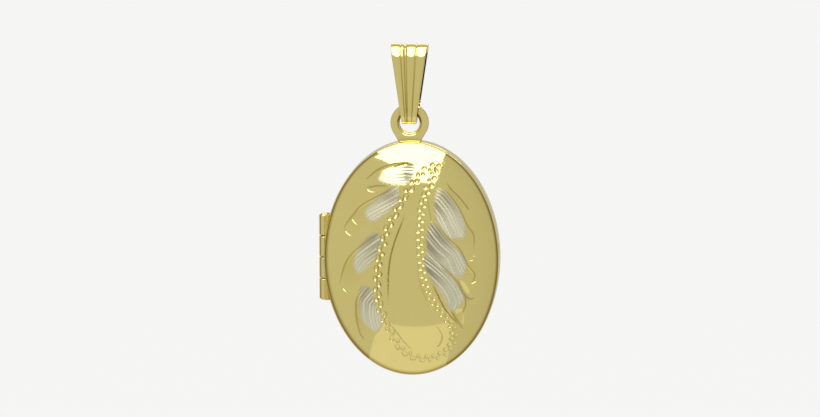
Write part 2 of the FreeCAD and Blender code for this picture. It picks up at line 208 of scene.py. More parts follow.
def along_and_beside(places, line, closed=False):
    """For each place, how far along the line its nearest point lies and how far to the left of
    the line the place is.  Both come from the nearest sample and the direction there."""
    ahead = np.roll(line, -1, axis=0) - line
    if not closed:
        ahead[-1] = ahead[-2]
    step = np.maximum(np.linalg.norm(ahead, axis=1), 1e-9)
    direction = ahead / step[:, None]
    run = np.concatenate([[0], np.cumsum(step[:-1])])
    along = np.empty(len(places))
    beside = np.empty(len(places))
    for block in np.array_split(np.arange(len(places)), len(places) // 6000 + 1):
        gap = places[block, None, :] - line[None, :, :]
        nearest = np.argmin((gap**2).sum(axis=2), axis=1)
        offset = gap[np.arange(len(block)), nearest]
        tangent = direction[nearest]
        along[block] = run[nearest] + (offset * tangent).sum(axis=1)
        side = tangent[:, 0] * offset[:, 1] - tangent[:, 1] * offset[:, 0]
        beside[block] = np.sign(side) * np.linalg.norm(offset, axis=1)
    return along, beside


def soft_step(value, low, high):
    """0 below low, 1 above high, and the smooth cubic 3t^2 - 2t^3 between."""
    t = np.clip((value - low) / (high - low), 0, 1)
    return t * t * (3 - 2 * t)


# Each leaf in millimetres from the oval's centre: the crisp edge that the graver's corner cut and
# the soft edge where the cut runs out, both from the stem to the tip, and the whitened patch.
# tilt is the slope of its flat, and bold how much darker its shading lines are painted, from 0 to 1, as
# painted shade in their grooves.
LEAVES = [
    dict(
        crisp=[(0.5, 8.45), (-0.5, 8.5), (-1.65, 8.3), (-2.75, 7.85), (-3.7, 7.05)],
        soft=[(-0.25, 6.6), (-1.6, 6.6), (-2.9, 6.75), (-3.7, 7.05)],
        bold_shade=1.0,
        tilt=0.06,
        white=[
            (0.45, 8.4), (-1.45, 8.05), (-2.55, 7.35), (-2.65, 6.9), (-1.6, 6.65), (-0.25, 6.7),
            (0.4, 7.5),
        ],
    ),
    dict(
        crisp=[(-1.8, 6.5), (-2.75, 6.5), (-3.5, 6.35)],
        soft=[(-1.8, 6.25), (-2.65, 6.0), (-3.5, 6.05)],
        tilt=0.03,
    ),
    dict(
        crisp=[(-1.1, 6.6), (-2.4, 5.8), (-4.1, 4.8), (-4.85, 3.95), (-5.5, 3.1), (-5.6, 2.6)],
        tilt=0.045,
        soft=[(-0.9, 5.15), (-1.75, 4.35), (-3.15, 3.4), (-4.15, 2.75), (-5.05, 2.35), (-5.6, 2.6)],
        white=[
            (-2.1, 6.05), (-1.05, 6.75), (-0.9, 5.3), (-1.75, 4.35), (-3.1, 3.4), (-3.85, 3.95),
            (-3.6, 4.7),
        ],
    ),
    dict(
        crisp=[(-2.45, 2.6), (-3.8, 1.6), (-4.95, 0.6), (-5.6, -0.45), (-6.05, -2.05)],
        soft=[(-2.35, 1.55), (-2.6, 0.35), (-3.35, -1.05), (-4.1, -2.0), (-5.4, -2.65), (-6.05, -2.2)],
        white=[(-3.05, 2.55), (-2.35, 1.95), (-2.95, 0.25), (-4.25, -1.15), (-4.85, -0.2), (-4.25, 1.4)],
    ),
    dict(
        crisp=[(-3.6, -2.0), (-4.5, -3.2), (-4.65, -4.15), (-4.6, -5.2), (-4.3, -6.4), (-4.0, -6.85)],
        soft=[(-3.05, -2.2), (-2.8, -3.6), (-2.3, -5.0), (-2.55, -5.95), (-3.35, -6.55), (-4.0, -6.85)],
        white=[
            (-3.8, -2.15), (-3.15, -2.5), (-2.95, -3.6), (-2.45, -4.65), (-2.45, -5.7),
            (-3.15, -6.15), (-4.25, -4.95), (-4.35, -2.65),
        ],
    ),
    dict(
        crisp=[(3.0, 7.05), (3.45, 6.35), (4.2, 5.6), (4.95, 4.65)],
        soft=[(3.1, 6.6), (3.55, 5.65), (4.15, 5.0), (4.95, 4.6)],
    ),
    dict(
        crisp=[(2.5, 6.45), (3.1, 6.1), (4.05, 4.9), (4.9, 3.2), (5.4, 2.4), (5.45, 1.15)],
        tilt=0.045,
        bold_shade=0.3,
        soft=[(2.1, 5.6), (2.15, 4.05), (2.8, 2.75), (3.8, 1.9), (4.75, 1.55), (5.45, 1.15)],
        white=[
            (2.35, 6.35), (3.0, 6.1), (4.1, 4.75), (4.75, 3.2), (4.75, 2.4), (4.35, 2.1),
            (3.45, 2.1), (2.8, 2.75), (2.15, 4.05), (2.1, 5.6),
        ],
    ),
    dict(
        crisp=[(2.2, 3.55), (3.2, 2.25), (4.25, 1.2), (5.0, -0.3), (5.5, -0.95), (5.4, -1.55)],
        bold_shade=0.55,
        soft=[(1.5, 2.75), (1.65, 0.9), (2.55, -0.15), (3.55, -0.85), (4.55, -1.35), (5.4, -1.55)],
        white=[
            (2.0, 3.45), (3.2, 2.15), (4.1, 1.25), (4.85, 0.3), (4.85, -0.4), (4.3, -1.3),
            (3.3, -0.85), (2.3, -0.5), (1.55, 0.35), (1.45, 2.6),
        ],
    ),
    dict(
        crisp=[(4.05, -1.25), (4.2, -1.9), (4.35, -2.3), (4.7, -2.8), (5.1, -3.12), (5.3, -3.1)],
        soft=[(4.35, -1.2), (4.6, -1.55), (5.1, -2.38), (5.3, -3.1)],
        tilt=0.18,
    ),
    dict(
        crisp=[(1.6, 0.75), (2.8, -0.25), (3.95, -1.5), (4.6, -2.75), (4.75, -3.6), (4.55, -4.2)],
        bold_shade=0.55,
        soft=[(1.4, -0.5), (2.0, -1.5), (2.8, -3.15), (3.4, -4.1), (4.0, -4.3), (4.55, -4.2)],
        white=[
            (1.3, 0.55), (2.85, -0.3), (3.95, -1.5), (4.7, -2.75), (4.5, -3.4), (4.05, -3.95),
            (3.45, -4.1), (2.8, -2.75), (1.95, -1.6), (1.3, -0.45),
        ],
    ),
    dict(
        crisp=[(3.45, -4.0), (3.8, -4.7), (4.45, -5.65)],
        soft=[(4.6, -4.0), (4.6, -4.8), (4.5, -5.65)],
        tilt=0.15,
    ),
]
LEAF_DEPTH = 0.11
LEAF_TILT = 0.065
EDGE_HALF_WIDTH = 0.11
LOOP = [
    (2.25, 8.3), (1.15, 7.8), (0.1, 6.5), (-0.55, 5.55), (-1.15, 4.4), (-1.65, 3.4), (-2.05, 2.4),
    (-2.35, 1.2), (-2.6, 0.0), (-2.75, -1.55), (-2.75, -2.75), (-2.5, -4.15), (-1.85, -5.7),
    (-1.25, -6.9), (-0.5, -7.85), (0.45, -8.35), (1.45, -8.45), (2.4, -8.25), (3.2, -7.65),
    (3.7, -6.7), (3.6, -5.65), (3.05, -4.7), (2.25, -3.65), (1.6, -2.45), (1.2, -1.1), (1.0, 0.45),
    (0.9, 2.0), (0.95, 3.4), (1.05, 4.75), (1.35, 5.9), (1.85, 7.1), (2.25, 8.3),
]
LOOP_CUT_DEPTH = 0.020
LOOP_HALF_SPREAD = 0.155
SCOOP_LENGTH = 0.27
SCOOP_WIDTH = 0.20
# single graver lines: places in millimetres, strength, and half width in millimetres; the last
# few are the short ticks struck at the leaf tips
FINE_CUTS = [
    (
        [(-0.2, 4.6), (-0.74, 3.21), (-1.26, 1.81), (-1.68, 0.14), (-1.83, -1.73), (-1.81, -3.7)],
        1.0, 0.085,
    ),
    ([(0.55, 3.4), (0.6, 2.2), (0.7, 0.45), (0.9, -1.7), (1.4, -3.15), (2.05, -4.45)], 0.35, 0.08),
    ([(-1.7, -5.35), (-1.0, -6.3), (-0.5, -6.95), (0.0, -7.5)], 0.35, 0.08),
    ([(2.25, -5.4), (2.75, -6.25), (2.65, -6.95), (2.35, -7.4)], 0.35, 0.08),
    ([(1.75, -1.4), (2.09, -2.09), (2.92, -3.84), (3.62, -4.77), (4.4, -5.65)], 0.9, 0.08),
    ([(1.2, 6.2), (1.55, 5.2), (1.75, 4.2), (1.85, 3.6)], 0.5, 0.08),
    ([(-1.5, 7.98), (-1.0, 8.2), (-0.3, 8.4)], 1.2, 0.13),
    ([(-4.95, 3.72), (-4.8, 3.42), (-4.6, 3.24)], 0.32, 0.07),
    ([(-5.5, 2.8), (-5.42, 2.45), (-5.15, 2.25)], 0.32, 0.07),
    ([(-3.62, 6.3), (-3.5, 6.08), (-3.2, 6.0)], 0.22, 0.07),
    ([(5.1, 0.66), (5.25, 0.68), (5.42, 0.62)], 0.5, 0.065),
    ([(5.38, 0.27), (5.28, 0.26), (5.15, 0.24)], 0.45, 0.055),
    ([(5.13, -1.84), (5.35, -1.72), (5.58, -1.6)], 0.35, 0.055),
    ([(-5.85, -2.4), (-5.72, -2.48), (-5.5, -2.7)], 0.4, 0.06),
]
# how deep a single cut is shaded, how deep its groove really is, and how deep a bowl is shaded
CUT_DEPTH = 0.055
LINE_CUT_DEPTH = 0.012
SCOOP_DEPTH = 0.065


def inside_outline(places, outline):
    """True where a ray going right from the place crosses the closed outline an odd number of
    times."""
    x, y = places[:, 0, None], places[:, 1, None]
    x1, y1 = outline.T
    x2, y2 = np.roll(outline, -1, axis=0).T
    rise = np.where(y2 == y1, 1e-9, y2 - y1)
    crossed = ((y1 > y) != (y2 > y)) & (x < x1 + (y - y1) * (x2 - x1) / rise)
    return crossed.sum(axis=1) % 2 == 1


def close_to(places, line, margin):
    """Which places lie in the upright rectangle that holds the line with this margin round it."""
    low, high = line.min(axis=0) - margin, line.max(axis=0) + margin
    return np.flatnonzero(np.all((places > low) & (places < high), axis=1))


def leaf_cut(places, leaf):
    """Depth, whitening, distance in from the crisp edge and distance along it, for one leaf.

    The cut is a flat of constant tilt: its depth is the tilt times the distance from the soft
    edge, fading in from the stem, with a steep wall just inside the crisp edge.  Whitening
    fades in over a few tenths of a millimetre round its patch.
    """
    crisp = smooth_line(leaf["crisp"])
    soft = smooth_line(leaf["soft"])
    outline = np.vstack([crisp, soft[::-1]])
    near = close_to(places, outline, 0.4)
    spot = places[near]
    along, from_crisp = along_and_beside(spot, crisp)
    _, from_soft = along_and_beside(spot, soft)
    from_crisp, from_soft = np.abs(from_crisp), np.abs(from_soft)
    run = along / along.max()
    fade = soft_step(run, 0.0, 0.25)
    inside = inside_outline(spot, outline)
    wall = soft_step(from_crisp, 0.0, 0.17)
    deep = np.minimum(leaf.get("tilt", LEAF_TILT) * from_soft, LEAF_DEPTH) * inside * fade * wall
    results = np.zeros((4, len(places)))
    results[0, near] = deep
    results[2, near] = from_crisp
    results[3, near] = along
    if "white" in leaf:
        patch = smooth_line(leaf["white"], closed=True)
        _, from_patch = along_and_beside(spot, patch, closed=True)
        within = np.where(inside_outline(spot, patch), 1, -1) * np.abs(from_patch)
        results[1, near] = soft_step(within, -0.16, 0.26)
    return results


def graver_lines(places, lines):
    """For single cuts: the signed distance from the nearest cut in half widths, and how strong
    that cut is.  Strength fades at a cut's two ends and is nothing beyond 2.6 half widths, so
    that the distance may change sign out there unseen."""
    nearest = np.full(len(places), 6.0)
    strength = np.zeros(len(places))
    for points, power, half_width in lines:
        line = smooth_line(points)
        near = close_to(places, line, 6 * half_width)
        along, beside = along_and_beside(places[near], line)
        beside = beside / half_width
        run = along / along.max()
        closer = np.abs(beside) < np.abs(nearest[near])
        ends = soft_step(run, 0.0, 0.2) * soft_step(1 - run, 0.0, 0.3)
        away = soft_step(2.6 - np.abs(beside), 0.0, 1.0)
        chosen = near[closer]
        nearest[chosen] = beside[closer]
        strength[chosen] = (power * ends * away)[closer]
    return nearest, strength


def loop_places(places):
    """For the wriggle-cut loop: the count of scoops from its start, the distance to the left of
    its line, and how hard it is cut near the line.  The pitch is wider and the cut heavier down
    the left strand than up the right, and slow waves keep it as uneven as handwork."""
    line = smooth_line(LOOP)
    along, beside = along_and_beside(places, line)
    whole = along.max()
    marks = np.linspace(0, 1, 400)
    pitch = np.interp(marks, [0, 0.1, 0.42, 0.55, 1.0], [0.66, 0.90, 0.90, 0.62, 0.64])
    count = np.concatenate([[0], np.cumsum((1 / pitch[:-1] + 1 / pitch[1:]) / 2 * whole / 399)])
    share = np.clip(along / whole, 0, 1)
    phase = np.interp(share, marks, count)
    heavy = ([0, 0.3, 0.42, 0.55, 0.75, 0.86, 1.0], [1.0, 1.0, 0.5, 0.4, 0.45, 0.6, 1.0])
    power = np.interp(share, *heavy)
    near = power * soft_step(0.62 - np.abs(beside), 0.0, 0.12)
    beside = np.clip(beside, -0.7, 0.7) + 0.03 * np.sin(phase * 4.3) + 0.02 * np.sin(phase * 9.1)
    return phase + 0.07 * np.sin(phase * 5.7), beside, near


def scoops(phase, beside):
    """Depth from 0 to 1 of two staggered rows of round scoops: 1 minus the square of the
    distance from a scoop's middle, in scoop radii, and never below 0."""
    depth = np.zeros(len(phase))
    for side, shift in ((1, 0.0), (-1, 0.5)):
        step = ((phase + shift + 0.5) % 1 - 0.5) / SCOOP_LENGTH
        across = (beside - side * LOOP_HALF_SPREAD) / SCOOP_WIDTH
        depth = np.maximum(depth, 1 - step**2 - across**2)
    return depth


GUTTER_RADIUS_INSIDE = GUTTER_RADIUS + 0.06 * MM


def stamped_shell(rim_y, rim_height, crown_y, steps, spokes):
    """The points of a whole shell: the crown out to its shoulder, the side wall, the rounded lip,
    and back up inside one sheet thickness in, with the gutter for the hinge.

    steps counts the rows of the crown, the wall and the inside.  Also gives how many rows the
    crown has and how many lie outside.
    """
    away = 1 if crown_y > rim_y else -1
    shoulder = rim_y + away * rim_height
    width_inside, length_inside = HALF_WIDTH - SHELL_WALL, HALF_LENGTH - SHELL_WALL
    crown_inside = crown_y - away * SHELL_WALL
    crown = dome_arc(HALF_WIDTH, HALF_LENGTH, shoulder, crown_y, steps[0])[1:]
    inside = dome_arc(width_inside, length_inside, shoulder, crown_inside, steps[2])[1:]
    edge = [
        (HALF_WIDTH, HALF_LENGTH, shoulder),
        (HALF_WIDTH, HALF_LENGTH, rim_y),
        (width_inside, length_inside, rim_y),
        (width_inside, length_inside, shoulder),
    ]
    lip = rounded_step(edge, RIM_ROUNDING, closed=False)[4:-4]
    side = np.linspace(crown[-1], lip[0], steps[1], endpoint=False)[1:]
    grid = oval_rings(np.concatenate([crown, side, lip, inside[::-1]]), spokes)
    outer = len(crown) + len(side) + len(lip) // 2
    grid[:outer] = beside_hinge(grid[:outer], GUTTER_RADIUS)
    grid[outer:] = beside_hinge(grid[outer:], GUTTER_RADIUS_INSIDE)
    return grid, len(crown), outer


COVER_STEPS = (134, 8, 20)
COVER_SPOKES = 560
cover_grid, crown_rows, outer_rows = stamped_shell(
    COVER_RIM_Y, COVER_RIM_HEIGHT, COVER_CROWN_Y, COVER_STEPS, COVER_SPOKES
)

# the nail nick, a round scoop through the side wall opposite the hinge
NICK_RADIUS = 1.4 * MM
NICK_DEPTH = 0.12 * MM
NICK_ABOVE_CENTRE = 1.1 * MM
wall = cover_grid[crown_rows:outer_rows]
nick_axis = OVAL_CENTRE[0] + HALF_WIDTH + NICK_RADIUS - NICK_DEPTH
off_axis = wall[..., 2] - OVAL_CENTRE[2] - NICK_ABOVE_CENTRE
scooped = nick_axis - np.sqrt(np.clip(NICK_RADIUS**2 - off_axis**2, 0, None))
in_nick = (np.abs(off_axis) < NICK_RADIUS) & (wall[..., 0] > OVAL_CENTRE[0])
wall[..., 0] = np.where(in_nick, np.minimum(wall[..., 0], scooped), wall[..., 0])

face = cover_grid[:crown_rows].reshape(-1, 3)
places = (face[:, [0, 2]] - OVAL_CENTRE[[0, 2]]) / MM
phase, loop_beside, near_loop = loop_places(places)
cut = LOOP_CUT_DEPTH * scoops(phase, loop_beside) * near_loop
white = np.zeros(len(places))
shading = np.zeros((len(places), 2))
cut_depth_shade = np.zeros(len(places))
bold_line_shade = np.zeros(len(places))
for number, leaf in enumerate(LEAVES):
    leaf_depth, leaf_white, inward, lengthwise = leaf_cut(places, leaf)
    newer = (leaf_white > white)[:, None]
    shading = np.where(newer, np.stack([inward + 3 * number, lengthwise], axis=1), shading)
    bold_line_shade = np.where(newer[:, 0], leaf.get("bold_shade", 0.0), bold_line_shade)
    white = np.maximum(white, leaf_white)
    # the share of the full leaf depth, kept to darken the cut as painted shade
    cut_depth_shade = np.maximum(cut_depth_shade, leaf_depth / LEAF_DEPTH)
    cut = np.maximum(cut, leaf_depth)
line_beside, line_strength = graver_lines(places, FINE_CUTS)
# the crisp edges get no groove of their own here, only a dark line of painted shade and polishing
# compound along each
crisp_edges = [(leaf["crisp"], 1.0, EDGE_HALF_WIDTH) for leaf in LEAVES]
edge_beside, edge_strength = graver_lines(places, crisp_edges)
cut = cut + LINE_CUT_DEPTH * line_strength * np.clip(1 - np.abs(line_beside), 0, 1)
face[:, 1] += cut * MM
cover_grid[:crown_rows] = face.reshape(crown_rows, COVER_SPOKES, 3)
cover = skin("cover", cover_grid, close_start=True, close_end=True)


def keep_on_points(piece, name, values):
    """One number kept on every point of the mesh; points past the given ones get zero."""
    whole = np.zeros(len(piece.data.vertices), dtype=np.float32)
    whole[: len(values)] = values
    layer = piece.data.attributes.new(name, "FLOAT", "POINT")
    layer.data.foreach_set("value", whole)


POINT_NUMBERS = {
    "whitening": white,
    "cut_depth_shade": cut_depth_shade,
    "inward": shading[:, 0],
    "lengthwise": shading[:, 1],
    "bold_line_shade": bold_line_shade,
    "line_beside": line_beside,
    "line_strength": line_strength,
    "edge_beside": edge_beside,
    "edge_strength": edge_strength,
    "loop_count": phase,
    "loop_beside": loop_beside,
    "near_loop": near_loop,
}
for name, values in POINT_NUMBERS.items():
    keep_on_points(cover, name, values)


def join(tree, node, inputs):
    """Fills the node's named inputs: a plain value is put in, a socket is linked, and a node
    stands for its first output in use."""
    for name, value in inputs.items():
        if isinstance(value, bpy.types.Node):
            value = next(socket for socket in value.outputs if socket.enabled)
        if isinstance(value, bpy.types.NodeSocket):
            tree.links.new(value, node.inputs[name])
        else:
            node.inputs[name].default_value = value


def add(tree, kind, inputs=None, **settings):
    """A new node of this kind, with its settings made first and then its inputs filled."""
    node = tree.nodes.new("ShaderNode" + kind)
    for name, value in settings.items():
        setattr(node, name, value)
    join(tree, node, inputs or {})
    return node


def calc(tree, operation, *values, clamp=False):
    """One step of arithmetic on plain numbers, sockets or nodes."""
    return add(tree, "Math", dict(enumerate(values)), operation=operation, use_clamp=clamp)


def blend(tree, factor, first, second):
    """The first colour where the factor is 0, the second where it is 1."""
    return add(tree, "Mix", {"Factor": factor, "A": first, "B": second}, data_type="RGBA")


def ramp(tree, value, from_min, from_max, to_min=0.0, to_max=1.0, smooth=False):
    """The value carried from one range to another and held at its ends, evenly or smoothly."""
    ranges = {"From Min": from_min, "From Max": from_max, "To Min": to_min, "To Max": to_max}
    pace = "SMOOTHSTEP" if smooth else "LINEAR"
    return add(tree, "MapRange", {"Value": value, **ranges}, interpolation_type=pace)


def start_group(name, inputs, outputs):
    """An empty node group with number inputs, each with its usual value, and number outputs."""
    group = bpy.data.node_groups.new(name, "ShaderNodeTree")
    for title, value in inputs.items():
        socket = group.interface.new_socket(title, in_out="INPUT", socket_type="NodeSocketFloat")
        socket.default_value = value
    for title in outputs:
        group.interface.new_socket(title, in_out="OUTPUT", socket_type="NodeSocketFloat")
    given, out = group.nodes.new("NodeGroupInput"), group.nodes.new("NodeGroupOutput")
    return group, given.outputs, out


def new_material(name):
    """An empty material with its node tree and its Principled shader."""
    material = bpy.data.materials.new(name)
    material.use_nodes = True
    return material, material.node_tree, material.node_tree.nodes["Principled BSDF"]


def polish_group():
    """What polishing leaves on gold, as numbers that vary over the surface.

    Haze is a slow cloudiness of the shine, Tint a slight unevenness of colour, and Height the
    faint orange-peel and hairlines left by the last wheel.
    """
    sizes = {"Cloud Size": 400.0, "Hairline Size": 9000.0}
    group, given, out = start_group("polish", sizes, ("Haze", "Tint", "Height"))
    where = add(group, "TexCoord").outputs["Object"]
    broad = {"Vector": where, "Scale": given["Cloud Size"]}
    haze = add(group, "TexNoise", {**broad, "Detail": 3})
    tint = add(group, "TexNoise", {**broad, "W": 7.0}, noise_dimensions="4D")
    drawn = {"Vector": where, "Scale": (1.0, 1.0, 0.06), "Rotation": (0.0, 0.5, 0.0)}
    stretch = add(group, "Mapping", drawn)
    hairline = {"Vector": stretch, "Scale": given["Hairline Size"], "Detail": 2}
    height = add(group, "TexNoise", hairline)
    join(group, out, {"Haze": haze, "Tint": tint, "Height": height})
    return group


polish = polish_group()
GOLD = (0.965, 0.830, 0.315)
GOLD_DEEP = (0.935, 0.790, 0.268)
# the brown that creases are darkened towards: polishing compound and painted shade
COMPOUND_AND_SHADE = (0.16, 0.085, 0.03, 1)


def gold_material(name, light, deep, shine, cloud, hairline, compound_and_shade_strength, reach=0.40 * MM, until=0.62):
    """Gold whose colour drifts between two tints, whose roughness drifts with the polish haze,
    and whose creases are darkened towards brown, partly polishing compound and partly painted
    shade: a place is a crease where things stand within reach of it, and untouched where the
    open share of its sky is more than until."""
    material, tree, shader = new_material(name)
    sizes = {"Cloud Size": cloud, "Hairline Size": hairline}
    marks = add(tree, "Group", sizes, node_tree=polish)
    colour = blend(tree, marks.outputs["Tint"], (*deep, 1), (*light, 1))
    # painted shade: ambient occlusion darkens creases, gaps and hollows towards brown, as compound and
    # as the shade that falls there
    crease = add(tree, "AmbientOcclusion", {"Distance": reach}, samples=8)
    compound_and_shade = ramp(tree, crease.outputs["AO"], 0.15, until, compound_and_shade_strength, 0.0)
    compound_shaded = blend(tree, compound_and_shade, colour, COMPOUND_AND_SHADE)
    rough = ramp(tree, marks.outputs["Haze"], 0.0, 1.0, shine * 0.7, shine * 1.4)
    relief = {"Height": marks.outputs["Height"], "Strength": 0.06, "Distance": 0.004 * MM}
    bump = add(tree, "Bump", relief)
    finish = {"Base Color": compound_shaded, "Metallic": 1.0, "Roughness": rough, "Normal": bump}
    join(tree, shader, finish)
    return material


polished_gold = gold_material("polished gold", GOLD, GOLD_DEEP, 0.045, 350.0, 9000.0, 0.7)


def graver_streaks_group():
    """The fine lines that shade a leaf, as a number from 0 in a line to 1 between lines.

    They are streaks drawn out along the leaf: noise read at (inward, lengthwise) with a far
    finer scale inward, mixed with an even ruling Spacing apart whose places the noise disturbs.
    Towards the tip the lines fade.
    """
    inputs = {"Inward": 0.0, "Lengthwise": 0.0, "Spacing": 0.27}
    group, given, out = start_group("graver streaks", inputs, ("Ridge",))
    drawn_out = calc(group, "MULTIPLY", given["Lengthwise"], 0.07)
    place = add(group, "CombineXYZ", {"X": given["Inward"], "Y": drawn_out})
    streak = add(group, "TexNoise", {"Vector": place, "Scale": 2.4, "Detail": 2})
    wander = calc(group, "MULTIPLY_ADD", streak, 2.5, 0.5)
    turns = calc(group, "DIVIDE", given["Inward"], given["Spacing"])
    wave = calc(group, "SINE", calc(group, "MULTIPLY_ADD", turns, 2 * math.pi, wander))
    ruling = ramp(group, wave, -1.0, 0.3, smooth=True)
    broad = ramp(group, streak, 0.36, 0.58, smooth=True)
    lines = calc(group, "MULTIPLY", ruling, broad)
    toward_tip = ramp(group, given["Lengthwise"], 0.6, 3.6, 0.0, 0.65, smooth=True)
    ridge = add(group, "Mix", {"Factor": toward_tip, "A": lines, "B": 1.0})
    join(group, out, {"Ridge": ridge})
    return group


MARK_INPUTS = (
    "Line Beside", "Line Strength", "Edge Beside", "Edge Strength",
    "Loop Count", "Loop Beside", "Near Loop",
)


def graver_marks_group():
    """The relief of single cuts and of the loop's scoops, on top of what the mesh itself holds.

    Depth is 1 at the bottom of a V whose sides are straight, or 1 - r^2 in a scoop of radius 1;
    the last output is 1 where the colour is darkened towards brown, partly polishing compound
    and partly painted shade: in the V, along a leaf's crisp edge, and in a thin ring at a
    scoop's edge.
    """
    outputs = ("Line Depth", "Scoop Depth", "Residue And Shade")
    group, given, out = start_group("graver marks", dict.fromkeys(MARK_INPUTS, 0.0), outputs)

    def vee(kind):
        """1 on the line, falling straight to 0 one half width away, times the line's strength."""
        away = calc(group, "ABSOLUTE", given[f"{kind} Beside"])
        depth = calc(group, "SUBTRACT", 1.0, away, clamp=True)
        return calc(group, "MULTIPLY", depth, given[f"{kind} Strength"])

    line_depth = vee("Line")
    line_residue_and_shade = calc(group, "MAXIMUM", line_depth, vee("Edge"))
    rows = []
    for side, shift in ((1, 0.0), (-1, 0.5)):
        part = calc(group, "FRACT", calc(group, "ADD", given["Loop Count"], shift + 0.5))
        step = calc(group, "DIVIDE", calc(group, "SUBTRACT", part, 0.5), SCOOP_LENGTH)
        off_row = calc(group, "SUBTRACT", given["Loop Beside"], side * LOOP_HALF_SPREAD)
        across = calc(group, "DIVIDE", off_row, SCOOP_WIDTH)
        square = calc(group, "MULTIPLY", across, across)
        rows.append(calc(group, "MULTIPLY_ADD", step, step, square))
    nearest = calc(group, "MINIMUM", *rows)
    bowl = calc(group, "SUBTRACT", 1.0, nearest, clamp=True)
    scoop_depth = calc(group, "MULTIPLY", bowl, given["Near Loop"])
    # a thin dark ring at each scoop's rim: painted shade and polishing compound
    off_edge = calc(group, "ABSOLUTE", calc(group, "SUBTRACT", nearest, 1.0))
    ring = calc(group, "SUBTRACT", 1.0, calc(group, "DIVIDE", off_edge, 0.45), clamp=True)
    ring = calc(group, "MULTIPLY", calc(group, "MULTIPLY", ring, given["Near Loop"]), 0.95)
    line_residue_and_shade = calc(group, "MULTIPLY", line_residue_and_shade, 0.9)
    residue_and_shade = calc(group, "MAXIMUM", line_residue_and_shade, ring, clamp=True)
    join(group, out, {"Line Depth": line_depth, "Scoop Depth": scoop_depth, "Residue And Shade": residue_and_shade})
    return group


# the shading lines in the white patches are dull gold, partly the gold under the plating and partly
# painted shade in the grooves; on bold leaves they are darker still, painted shade
RHODIUM = (1.0, 0.965, 0.68, 1)
RHODIUM_LINE_GOLD_AND_SHADE = (0.56, 0.50, 0.30, 1)
RHODIUM_BOLD_LINE_SHADE = (0.26, 0.24, 0.17, 1)
RHODIUM_SHINE = 0.27
CUT_SHADE_GOLD = (0.84, 0.68, 0.20, 1)
# the brown that painted shade and polishing compound give the cuts
RESIDUE_AND_SHADE = (0.52, 0.38, 0.10, 1)


def engraved_gold():
    """The polished gold, darker in the cut leaves the deeper the cut goes, as painted shade, with
    white rhodium where the whitening number is 1, satin there and streaked by the fine shading
    lines, whose darker tone is partly painted shade in their grooves."""
    material = polished_gold.copy()
    material.name = "engraved gold"
    tree = material.node_tree
    shader = tree.nodes["Principled BSDF"]
    sockets = ("Base Color", "Roughness", "Normal")
    plain = {name: shader.inputs[name].links[0].from_socket for name in sockets}
    told = {}
    for name in POINT_NUMBERS:
        told[name] = add(tree, "Attribute", attribute_name=name).outputs["Fac"]
    leaf_place = {"Inward": told["inward"], "Lengthwise": told["lengthwise"]}
    streaks = add(tree, "Group", leaf_place, node_tree=graver_streaks_group())
    cut_places = {name: told[name.lower().replace(" ", "_")] for name in MARK_INPUTS}
    marks = add(tree, "Group", cut_places, node_tree=graver_marks_group())
    # painted shade: the cut leaves are darker the deeper the cut
    cut_shade = calc(tree, "MULTIPLY", told["cut_depth_shade"], 0.55, clamp=True)
    cut_shaded_gold = blend(tree, cut_shade, plain["Base Color"], CUT_SHADE_GOLD)
    line_shade_tone = blend(tree, told["bold_line_shade"], RHODIUM_LINE_GOLD_AND_SHADE, RHODIUM_BOLD_LINE_SHADE)
    rhodium = blend(tree, streaks, line_shade_tone, RHODIUM)
    plated = blend(tree, told["whitening"], cut_shaded_gold, rhodium)
    # painted shade and polishing compound darken the cuts' Vs, the crisp edges and the scoops' rims
    residue_shaded = blend(tree, marks.outputs["Residue And Shade"], plated, RESIDUE_AND_SHADE)
    satin = {"Factor": told["whitening"], "A": plain["Roughness"], "B": RHODIUM_SHINE}
    rough = add(tree, "Mix", satin)
    raised = calc(tree, "MULTIPLY", streaks, told["whitening"])
    relief = {"Height": raised, "Normal": plain["Normal"], "Strength": 0.3, "Distance": 0.010 * MM}
    surface = add(tree, "Bump", relief)
    for name, depth in (("Line Depth", CUT_DEPTH), ("Scoop Depth", SCOOP_DEPTH)):
        relief = {"Height": marks.outputs[name], "Normal": surface, "Distance": depth * MM}
        surface = add(tree, "Bump", {**relief, "Strength": 1.0}, invert=True)
    join(tree, shader, {"Base Color": residue_shaded, "Roughness": rough, "Normal": surface})
    return material


cover.data.materials.append(engraved_gold())
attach(cover, "cover")
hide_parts("front_shell")


# ---- The back ---------------------------------------------------------------------------------
# The back shell, the cover's fellow: same oval, the same crown, but a deeper side wall that
# carries the eye and the collar.  Stamped and polished, left plain.
BACK_RIM_HEIGHT = 1.10 * MM
BACK_RIM_Y = back_low[1]
BACK_CROWN_Y = back_high[1]
BACK_STEPS = (60, 10, 24)
BACK_SPOKES = 320
back_grid, _, _ = stamped_shell(BACK_RIM_Y, BACK_RIM_HEIGHT, BACK_CROWN_Y, BACK_STEPS, BACK_SPOKES)
back = skin("back", back_grid, close_start=True, close_end=True)
back.data.materials.append(polished_gold)
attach(back, "back_half")
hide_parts("back_shell")


# ---- Collar and seats -------------------------------------------------------------------------
# Inside, a thin oval wall stands out of the back for the cover to close on, open at the hinge,
# and a flat ring soldered in each shell carries the picture.  These stay satin from the file.
SATIN = (0.90, 0.74, 0.27)
SATIN_DEEP = (0.84, 0.66, 0.22)
satin_gold = gold_material("satin gold", SATIN, SATIN_DEEP, 0.26, 600.0, 14000.0, 0.6)


